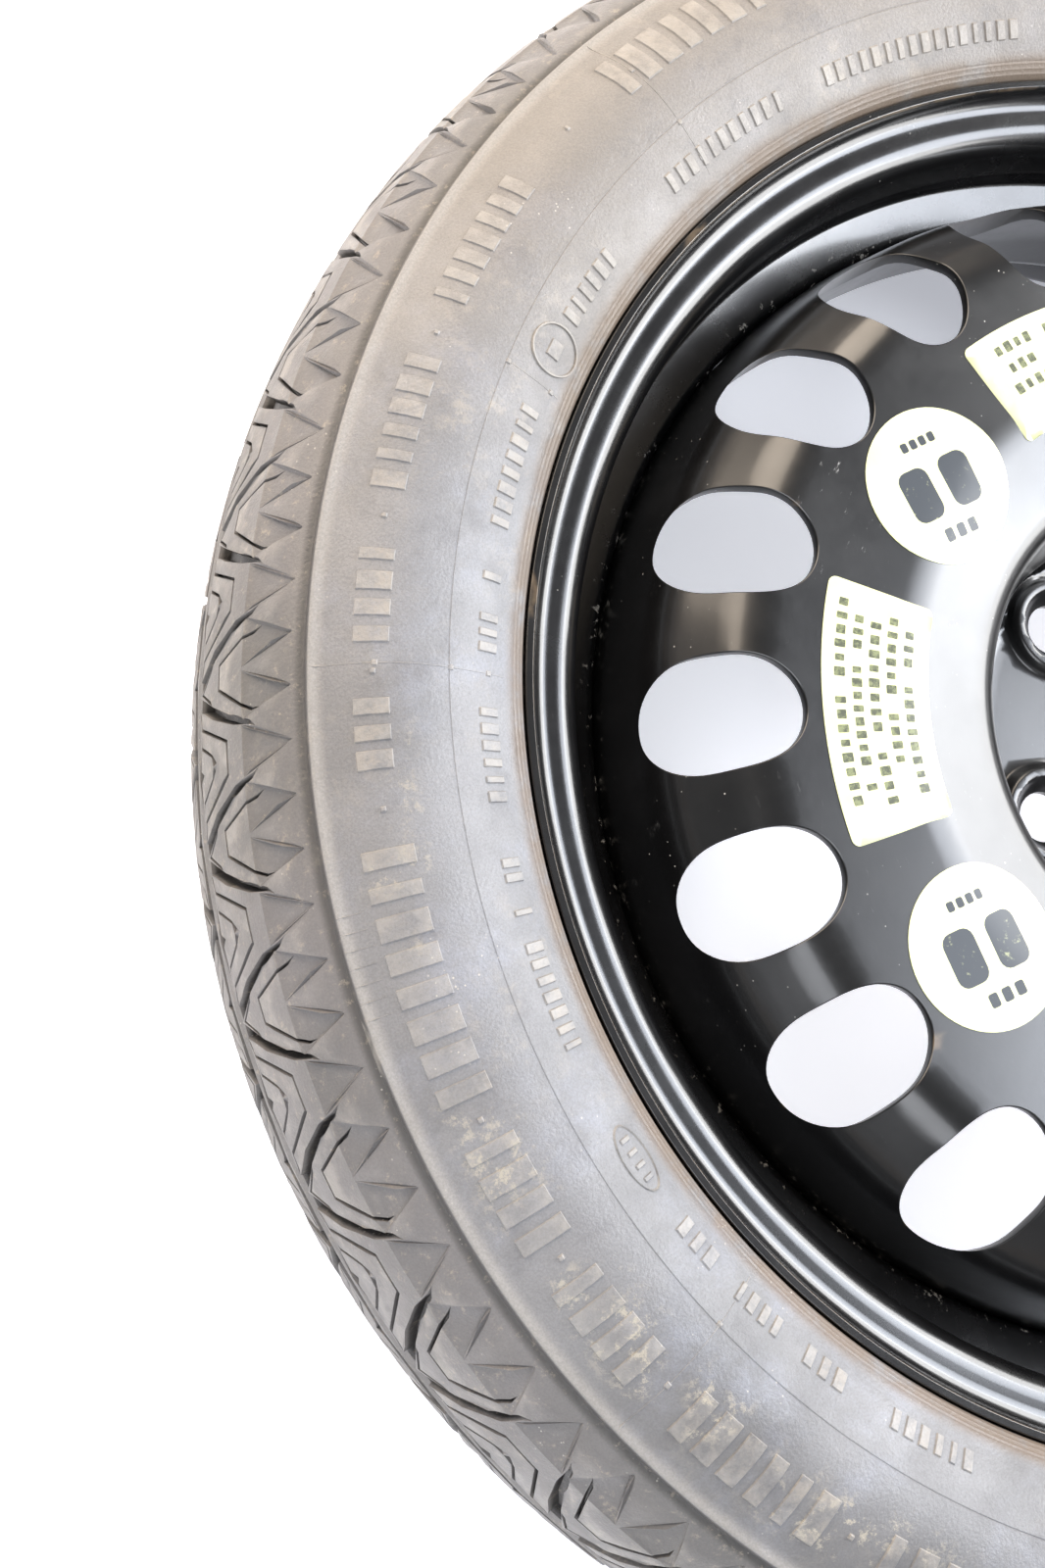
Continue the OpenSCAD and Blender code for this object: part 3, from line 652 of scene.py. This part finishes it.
disc_verts, disc_faces = [], []


def disc_vertex(r_, h_, angle):
    """Adds one vertex of the disc from its radius, height and angle in degrees."""
    a = math.radians(angle)
    disc_verts.append((r_ * math.cos(a) * MM, r_ * math.sin(a) * MM, h_ * MM))
    return len(disc_verts) - 1


# The stretch with the vents is drawn flat as one wedge, at the radius where its width is true, and repeated.
FLAT_R = 172.0
vent_from, vent_to = along_at(1, 150.0), run[-1] - 24.0
grid_rows = np.linspace(vent_from, vent_to, 22)
wedge = math.radians(360 / vents) * FLAT_R
hole_rims = {}
WORN = 0.35
for side in (1, -1):
    ring_plan = vent_ring(WORN)
    pts = [(math.atan2(y, x) * FLAT_R, float(along_at(side, math.hypot(x, y)))) for x, y in ring_plan]
    n_ring = len(pts)
    edges = [(i, (i + 1) % n_ring) for i in range(n_ring)]
    hole = list(pts)
    n_side = 18
    for a in (vent_from, vent_to):
        b = len(pts)
        pts.extend((wedge * (k / n_side - 0.5), a) for k in range(n_side + 1))
        edges.extend((b + k, b + k + 1) for k in range(n_side))
    for x in (-wedge / 2, wedge / 2):
        b = len(pts)
        pts.extend((x, a) for a in grid_rows)
        edges.extend((b + k, b + k + 1) for k in range(len(grid_rows) - 1))
    for a in grid_rows[1:-1]:
        for k in range(1, n_side):
            x = wedge * (k / n_side - 0.5)
            near = min(math.hypot(x - q[0], a - q[1]) for q in hole)
            if near > 1.0 and not inside(np.array([x]), np.array([a]), hole)[0]:
                pts.append((x, a))

    def in_tile(x, y):
        within = (abs(x) < wedge / 2) & (y > vent_from) & (y < vent_to)
        return within & ~inside(x, y, hole)

    co, tri, where_is = ordered_cdt(pts, edges, in_tile)
    co_r, co_h = skin_point(side, co[:, 1])
    for v in range(vents):
        turn_to = vent_turn + v * 360 / vents
        ids = []
        for r_, h_, x in zip(co_r, co_h, co[:, 0]):
            ids.append(disc_vertex(r_, h_, turn_to + math.degrees(x / FLAT_R)))
        for t in tri:
            f = tuple(ids[i] for i in t)
            disc_faces.append(f if side > 0 else f[::-1])
        hole_rims[side, v] = [ids[where_is[i]] for i in range(n_ring)]

# Each vent's wall is the punched edge of the sheet: a small worn radius on the seen side, then straight down.
wall_rows = []
for step in (0.3, 0.6, 1.0):
    row = []
    for (x, y), (gx, gy) in zip(vent_ring(0.0), vent_ring(WORN)):
        px, py = x + (gx - x) * (1 - step) ** 2, y + (gy - y) * (1 - step) ** 2
        rr = math.hypot(px, py)
        row.append((rr, skin_point(1, along_at(1, rr))[1] - 0.45 * step, math.degrees(math.atan2(py, px))))
    wall_rows.append(row)
for v in range(vents):
    turn_to = vent_turn + v * 360 / vents
    rows = [hole_rims[1, v]] + [[disc_vertex(r_, h_, turn_to + a) for r_, h_, a in row] for row in wall_rows]
    rows.append(hole_rims[-1, v])
    for a, b in zip(rows, rows[1:]):
        n = len(a)
        for i in range(n):
            j = (i + 1) % n
            disc_faces.append((a[i], a[j], b[j], b[i]))

# Hub face: five ball seats stand proud of the flat, each with a ground spherical mouth and a bolt hole in it.
BOLT_CIRCLE_R, HOLE_R, BALL_R, BALL_MID, MOUTH_R = 56.0, 8.5, 14.0, 13.7, 13.0
BOSS_FOOT_R, BOSS_TOP_R, BOSS_RISE = 18.6, 15.2, 4.5
HUB_ROWS = 60
bolts, bolt_turn = 5, 8.0
half_wedge = 180 // bolts
seat_rings = [HOLE_R, 8.8, 9.6, 10.6, 11.8, 12.8, MOUTH_R, 13.4, 15.0, 15.5, 16.2, 17.0, 17.8, BOSS_FOOT_R]
hub_to = 74.9


def hub_height(x, y):
    """Height of the hub face's top skin, boss and ball seat included; x points at the bolt."""
    rr = math.hypot(x, y)
    a = np.interp(rr, skins[1][:HUB_ROWS, 0], skins[1][:HUB_ROWS, 1])
    d = math.hypot(x - BOLT_CIRCLE_R, y)
    if d < MOUTH_R:
        return BALL_MID - math.sqrt(BALL_R ** 2 - d * d)
    if d <= 13.35:
        return DISC_T + BOSS_RISE - 0.25 * (13.4 - d) / 0.4
    k = min(1.0, max(0.0, (BOSS_FOOT_R - d) / (BOSS_FOOT_R - BOSS_TOP_R)))
    return max(a, DISC_T + BOSS_RISE * k * k * (3 - 2 * k))


for side in (1, -1):
    pts, edges = [], []
    n_arc = 48
    for q in (seat_rings if side > 0 else [HOLE_R]):
        b = len(pts)
        ring = []
        for k in range(n_arc):
            a = 2 * math.pi * k / n_arc
            ring.append((BOLT_CIRCLE_R + q * math.cos(a), q * math.sin(a)))
        ring = [p for p in ring if math.hypot(*p) < hub_to - 0.25]
        pts.extend(ring)
        whole = len(ring) == n_arc
        edges.extend((b + k, b + (k + 1) % len(ring)) for k in range(len(ring) - (0 if whole else 1))
                     if math.dist(ring[k], ring[(k + 1) % len(ring)]) < q * 0.3)
    for q in (BORE_R, hub_to):
        b = len(pts)
        for k in range(-half_wedge, half_wedge + 1):
            pts.append((q * math.cos(math.radians(k)), q * math.sin(math.radians(k))))
        edges.extend((b + k, b + k + 1) for k in range(2 * half_wedge))
    radii = np.linspace(BORE_R, hub_to, 14)
    for a in (-half_wedge, half_wedge):
        b = len(pts)
        pts.extend((q * math.cos(math.radians(a)), q * math.sin(math.radians(a))) for q in radii)
        edges.extend((b + k, b + k + 1) for k in range(len(radii) - 1))
    for q in radii[1:-1]:
        for k in range(3 - half_wedge, half_wedge, 3):
            x, y = q * math.cos(math.radians(k)), q * math.sin(math.radians(k))
            if math.hypot(x - BOLT_CIRCLE_R, y) > (BOSS_FOOT_R + 1.0 if side > 0 else HOLE_R + 1.5):
                pts.append((x, y))

    def in_wedge(x, y):
        rr = np.hypot(x, y)
        on_face = (rr > BORE_R - 0.02) & (rr < hub_to + 0.02)
        on_face = on_face & (abs(np.degrees(np.arctan2(y, x))) < half_wedge)
        return on_face & (np.hypot(x - BOLT_CIRCLE_R, y) > HOLE_R - 0.03)

    co, tri, where_is = ordered_cdt(pts, edges, in_wedge)
    for b in range(bolts):
        turn_to = bolt_turn + 360 / bolts * b
        ids = []
        for x, y in co:
            rr = math.hypot(x, y)
            low_h = np.interp(rr, skins[-1][:HUB_ROWS, 0], skins[-1][:HUB_ROWS, 1])
            h_ = hub_height(x, y) if side > 0 else low_h
            ids.append(disc_vertex(rr, h_, turn_to + math.degrees(math.atan2(y, x))))
        for t in tri:
            f = tuple(ids[i] for i in t)
            disc_faces.append(f if side > 0 else f[::-1])
        if side > 0:
            hole_rims["bolt", b] = [ids[where_is[i]] for i in range(n_arc)]
        else:
            low_rim = [ids[where_is[i]] for i in range(n_arc)]
            for i in range(n_arc):
                j = (i + 1) % n_arc
                disc_faces.append((hole_rims["bolt", b][i], hole_rims["bolt", b][j], low_rim[j], low_rim[i]))

# Plain turned stretches: the bore's wall, the nave wall and crown up to the vents, and the skirt.
hub_run = {side: float(np.interp(hub_to, skins[side][:HUB_ROWS, 0], run[:HUB_ROWS])) for side in (1, -1)}


def turned_rows(rows, turn_from=0.0, turn_to=0.0):
    """Faces between rows of (radius, height) turned round the axis, set off to meet the tiles' vertices."""
    last = None
    for i, (r_, h_) in enumerate(rows):
        shift = turn_from + (turn_to - turn_from) * i / (len(rows) - 1)
        now = [disc_vertex(r_, h_, k * 360 / SEG + shift) for k in range(SEG)]
        if last:
            for k in range(SEG):
                m = (k + 1) % SEG
                disc_faces.append((last[k], last[m], now[m], now[k]))
        last = now


turned_rows([(BORE_R, 0.0), (BORE_R, DISC_T / 2), (BORE_R, DISC_T)])
for side in (1, -1):
    stops = [hub_run[side]] + [a for a in run if hub_run[side] + 0.3 < a < vent_from - 0.3] + [vent_from]
    rows = [skin_point(side, a) for a in (stops if side > 0 else stops[::-1])]
    turned_rows(rows, *((0.0, 0.4) if side > 0 else (0.4, 0.0)))
stops = [vent_to] + [a for a in run if a > vent_to + 0.3]
turned_rows([skin_point(1, a) for a in stops] + [skin_point(-1, a) for a in stops[::-1]], 0.4, 0.4)

disc = mesh_object("pressed_disc", disc_verts, disc_faces, 42)
weld = disc.modifiers.new("close_seams", "WELD")
weld.merge_threshold = 0.00002
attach(disc, "wheel")
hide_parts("disc")
disc.data.materials.append(black_paint("black_gloss_paint_disc", 0.8, 0.10, 0.06))

# Short weld beads hold the skirt's end to the well; they were painted with the rest.
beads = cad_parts["weld_beads"].data
beads.materials.clear()
beads.materials.append(paint)

# Four adhesive films lie on the crown: two round ones and two that follow the crown as ring sectors.
# Each is a thin pale film printed with plain blocks, which are cut into the same mesh.
# The films are scuffed; each stands 0.3 mm off the crown, with a short wall down to it at its edge.
LABEL_R = 124.6
FILM_LIFT = 0.30


def crown_point(x, y, lift):
    """A point on the crown above a place in plan."""
    r_ = math.hypot(x, y)
    h_ = skin_point(1, along_at(1, r_))[1] + lift
    return x * MM, y * MM, h_ * MM


def rounded_box(cx, cy, w, h, q, steps=4):
    """Outline of a flat box with rounded corners."""
    out = []
    for sx, sy, a0 in ((1, 1, 0), (-1, 1, 90), (-1, -1, 180), (1, -1, 270)):
        for k in range(steps + 1):
            a = math.radians(a0 + 90 * k / steps)
            out.append((cx + sx * (w / 2 - q) + q * math.cos(a), cy + sy * (h / 2 - q) + q * math.sin(a)))
    return out


def film(name, angle, outline, prints, ink_material):
    """A thin film on the crown; outline and prints are in plan for a label centred on angle 0."""
    pts, edges = [], []
    for poly in [outline] + prints:
        b = len(pts)
        pts.extend(poly)
        edges.extend((b + k, b + (k + 1) % len(poly)) for k in range(len(poly)))
    xs, ys = [p[0] for p in outline], [p[1] for p in outline]
    grid = np.meshgrid(np.arange(min(xs), max(xs), 3.5), np.arange(min(ys), max(ys), 3.5))
    gx, gy = (g.ravel() for g in grid)
    kept = inside(gx, gy, outline) & (np.min([np.hypot(gx - qx, gy - qy) for qx, qy in outline], 0) > 1.2)
    pts.extend(zip(gx[kept], gy[kept]))
    co, tri, where_is = ordered_cdt(pts, edges, lambda x, y: inside(x, y, outline))
    c, s_ = math.cos(math.radians(angle)), math.sin(math.radians(angle))
    v = [crown_point(x * c - y * s_, x * s_ + y * c, FILM_LIFT) for x, y in co]
    f = [tuple(t) for t in tri]
    mid = co[np.array(f)].mean(1)
    ink = list(np.any([inside(mid[:, 0], mid[:, 1], q) for q in prints], 0))
    n, top = len(outline), [where_is[i] for i in range(len(outline))]
    b = len(v)
    v.extend(crown_point(x * c - y * s_, x * s_ + y * c, 0.02) for x, y in outline)
    for k in range(n):
        m = (k + 1) % n
        f.append((top[k], b + k, b + m, top[m]))
        ink.append(False)
    ob = mesh_object(name, v, f, 60)
    ob.data.materials.append(film_skin)
    ob.data.materials.append(ink_material)
    for p, dark in zip(ob.data.polygons, ink):
        p.material_index = 1 if dark else 0
    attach(ob, "wheel")
    return ob


film_skin, nt, skin = material("label_film")
wear = band(nt, noise(nt, 160.0, 6.0, 0.7), 0.56, 0.72)
stain = band(nt, noise(nt, 45.0, 4.0, 0.6), 0.4, 0.75)
colour = mix(nt, stain, linear("d8ddaa"), linear("cbd09e"))
colour = mix(nt, maths(nt, "MULTIPLY", wear, 0.35), colour, linear("e6e8d6"))
nt.links.new(colour, skin.inputs["Base Color"])
skin.inputs["Roughness"].default_value = 0.3
wrinkle = add(nt, "Bump", {"Strength": 0.25, "Distance": 0.0004}, {"Height": noise(nt, 120.0, 4.0, 0.6)})
nt.links.new(wrinkle.outputs[0], skin.inputs["Normal"])

film_ink, nt, skin = material("label_print")
wear = band(nt, noise(nt, 260.0, 6.0, 0.75), 0.60, 0.70)
colour = mix(nt, maths(nt, "MULTIPLY", wear, 0.8), linear("252c34"), linear("9ea37c"))
nt.links.new(colour, skin.inputs["Base Color"])
skin.inputs["Roughness"].default_value = 0.42

note_ink, nt, skin = material("note_print")
colour = mix(nt, band(nt, noise(nt, 420.0, 5.0, 0.75), 0.42, 0.62), linear("3d4230"), linear("737a55"))
nt.links.new(colour, skin.inputs["Base Color"])
skin.inputs["Roughness"].default_value = 0.4


def round_prints(tilt):
    """Two big blocks, a short row of small bars above them and another below."""
    t = math.radians(tilt)

    def turn_about(poly):
        c, s_ = math.cos(t), math.sin(t)
        return [(LABEL_R + x * c - y * s_, x * s_ + y * c) for x, y in poly]

    out = [turn_about(rounded_box(x, 0.6, 11.4, 17.5, 3.6)) for x in (-8.0, 8.0)]
    out += [turn_about(rounded_box(x, 15.6, 3.4, 4.4, 0.8)) for x in (-5.0, 0.0, 5.0)]
    out += [turn_about(rounded_box(x, -15.2, 2.6, 3.2, 0.7)) for x in (-5.4, -1.8, 1.8, 5.4)]
    return out


def note_prints(rows):
    """Rows of small blocks that follow the crown; rows are (radius, first angle, last angle, block mm)."""
    out = []
    for r_, a0, a1, size in rows:
        n = max(1, int(math.radians(a1 - a0) * r_ / (size * 1.1)))
        for k in range(n):
            if (k * 7 + int(r_)) % 9 == 4:
                continue
            a = math.radians(a0 + (a1 - a0) * (k + 0.5) / n)
            w, h = size * (0.55 + 0.2 * ((k * 5 + int(r_)) % 3) / 2), size * (0.8 + 0.15 * ((k * 3) % 2))
            c, s_ = math.cos(a), math.sin(a)
            block = rounded_box(0, 0, h, w, 0.35, 2)
            out.append([((r_ + x) * c - y * s_, (r_ + x) * s_ + y * c) for x, y in block])
    return out


def sector(r0, r1, span, q=2.5, steps=24):
    """Outline of a ring sector with rounded corners."""
    h = math.radians(span / 2)
    out = []
    for r_, direction, dr in ((r1, 1, -1), (r0, -1, 1)):
        for k in range(5):
            a = math.pi / 2 * (1 - k / 4)
            out.append((r_ + dr * q * (1 - math.sin(math.pi / 2 * k / 4)),
                        -direction * (h - q / r_ * (1 - math.cos(math.pi / 2 * k / 4)))))
        for k in range(1, steps):
            a = -direction * h + direction * (2 * h) * k / steps
            if abs(a) < h - q / r_:
                out.append((r_, a))
        for k in range(5):
            t = math.pi / 2 * (1 - k / 4)
            out.append((r_ + dr * q * (1 - math.sin(t)), direction * (h - q / r_ * (1 - math.cos(t)))))
    return [(r_ * math.cos(a), r_ * math.sin(a)) for r_, a in out]


disk_r = 25.9
disk = [(LABEL_R + disk_r * math.cos(math.radians(a)), disk_r * math.sin(math.radians(a)))
        for a in range(0, 360, 6)]
upper = film("round_label_upper", -54.7, disk, round_prints(62), film_ink)
lower = film("round_label_lower", 17.4, disk, round_prints(-14), film_ink)
note_outline = sector(111.4, 148.0, 33.6)
left = film("note_label_left", -18.4, note_outline,
            note_prints([(142.0, -14.8, 14.2, 3.9), (136.2, -13.0, 11.0, 3.7), (130.4, -14.8, 13.4, 3.9),
                         (124.6, -14.0, 8.0, 3.7), (118.8, -12.6, 12.8, 3.7)]), note_ink)
top_note = film("note_label_top", -89.0, note_outline,
                note_prints([(141.5, -12.5, 13.0, 3.8), (134.6, -14.5, 12.5, 3.8), (127.6, -10.0, 13.5, 3.8),
                             (120.6, -13.0, 9.0, 3.8)]), note_ink)
for ob, n in ((upper, "label_speed_upper"), (lower, "label_speed_lower"),
              (left, "label_note_left"), (top_note, "label_note_top")):
    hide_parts(n)

# Tyre valve: black moulded rubber round a brass stem, a brass core with a red sealing ring, and a ribbed cap.
# All of it sits in the rim's slope, reached from the outboard side through a vent.
valve_rubber, nt, skin = material("valve_rubber")
nt.links.new(mix(nt, noise(nt, 300.0, 4.0), linear("141415"), linear("2a2a2b")), skin.inputs["Base Color"])
skin.inputs["Roughness"].default_value = 0.55
brass, nt, skin = material("turned_brass")
nt.links.new(mix(nt, noise(nt, 500.0, 5.0), linear("b08d4a"), linear("8d6f3a")), skin.inputs["Base Color"])
skin.inputs["Metallic"].default_value = 1.0
rough_within(nt, skin, 700.0, 4.0, 0.55, 0.24, 0.42)
red_seal, nt, skin = material("red_sealing_ring")
nt.links.new(mix(nt, noise(nt, 900.0, 3.0), linear("8c2a1e"), linear("a63a2a")), skin.inputs["Base Color"])
skin.inputs["Roughness"].default_value = 0.4
spring_wire, nt, skin = material("spring_steel")
nt.links.new(mix(nt, noise(nt, 900.0, 3.0), linear("a9abae"), linear("8b8d90")), skin.inputs["Base Color"])
skin.inputs["Metallic"].default_value = 1.0
skin.inputs["Roughness"].default_value = 0.3
cap_plastic, nt, skin = material("cap_plastic")
nt.links.new(mix(nt, noise(nt, 350.0, 4.0), linear("121213"), linear("232324")), skin.inputs["Base Color"])
skin.inputs["Roughness"].default_value = 0.45
for mat, names in ((valve_rubber, ("valve_body", "valve_cup_seal", "valve_cap_seal")),
                   (red_seal, ("valve_core_gasket",)),
                   (brass, ("valve_stem", "valve_core_plug", "valve_core_body", "valve_pin", "valve_cup")),
                   (spring_wire, ("valve_spring",)), (cap_plastic, ("valve_cap",))):
    for n in names:
        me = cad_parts[n].data
        me.materials.clear()
        me.materials.append(mat)

# A plain pale studio floor under the wheel and nothing else in view.
# It is painted board; its white glow, seen only by the camera and in reflections, is a little stronger on the
# side that the lamps stand over: a painted pool of light and shade.
bpy.ops.mesh.primitive_plane_add(size=9.0, location=(0, 0, -0.1102))
floor = bpy.context.object
floor.name = "studio_floor"
floor_paint, nt, skin = material("floor_paint")
nt.links.new(mix(nt, noise(nt, 2.0, 2.0), linear("fafafb"), linear("f4f4f6")), skin.inputs["Base Color"])
skin.inputs["Roughness"].default_value = 0.9
skin.inputs["Specular IOR Level"].default_value = 0.1
skin.inputs["Emission Color"].default_value = linear("e8ebf6")
ray = add(nt, "LightPath").outputs
seen = maths(nt, "MAXIMUM", ray["Is Glossy Ray"], ray["Is Transmission Ray"])
seen = maths(nt, "MAXIMUM", ray["Is Camera Ray"], seen)
# The glow's strength runs from 0.46 at -y to 0.72 at +y: painted light and shade on the floor.
painted_light_pool = band(nt, plan(nt)[1], -0.13, 0.15, 0.46, 0.72)
nt.links.new(maths(nt, "MULTIPLY", seen, painted_light_pool), skin.inputs["Emission Strength"])
floor.data.materials.append(floor_paint)

# Soft even light as in a small studio: a pale surround and four wide lamps, the warm one over the top edge.
world = bpy.data.worlds.new("studio")
bpy.context.scene.world = world
world.use_nodes = True
back = world.node_tree.nodes["Background"]
back.inputs[0].default_value = linear("f0f2f6")
back.inputs[1].default_value = 0.34


def softbox(name, place, target, wide, tall, watts, colour):
    """A rectangular soft light aimed at a point."""
    lamp = bpy.data.lights.new(name, "AREA")
    lamp.shape, lamp.size, lamp.size_y = "RECTANGLE", wide, tall
    lamp.energy, lamp.color = watts, linear(colour)[:3]
    ob = bpy.data.objects.new(name, lamp)
    bpy.context.scene.collection.objects.link(ob)
    ob.location = place
    ob.rotation_mode = "QUATERNION"
    ob.rotation_quaternion = (Vector(target) - Vector(place)).to_track_quat("-Z", "Y")
    return ob


softbox("far_softbox", (-1.7, 0.25, 1.05), (0, 0, 0), 2.4, 1.0, 88, "ffffff")
softbox("near_softbox", (1.5, 0.9, 1.3), (0.2, 0, 0), 1.8, 1.2, 36, "f6f9ff")
softbox("over_rim_softbox", (-0.95, 0.22, 1.25), (0, -0.2, 0), 0.7, 0.6, 18, "eef4ff")
softbox("top_edge_softbox", (0.4, -1.8, 1.0), (0.1, 0, 0), 2.4, 1.5, 82, "ffeeda")

# The camera stands where the photograph was taken from, over the tyre's near edge and looking in at the disc.
lens = bpy.data.cameras.new("view")
lens.sensor_width, lens.lens = 36.0, 46.855
lens.clip_start, lens.clip_end = 0.01, 50
camera = bpy.data.objects.new("view", lens)
bpy.context.scene.collection.objects.link(camera)
right, up, out = (-0.88667, 0.35515, 0.29613), (-0.30329, -0.93007, 0.20734), (0.34906, 0.09403, 0.93237)
turn_m = Matrix((right, up, out)).transposed()
camera.matrix_world = Matrix.Translation((0.44252, 0.0, 0.58679)) @ turn_m.to_4x4()
bpy.context.scene.camera = camera
bpy.context.scene.view_settings.view_transform = "Standard"
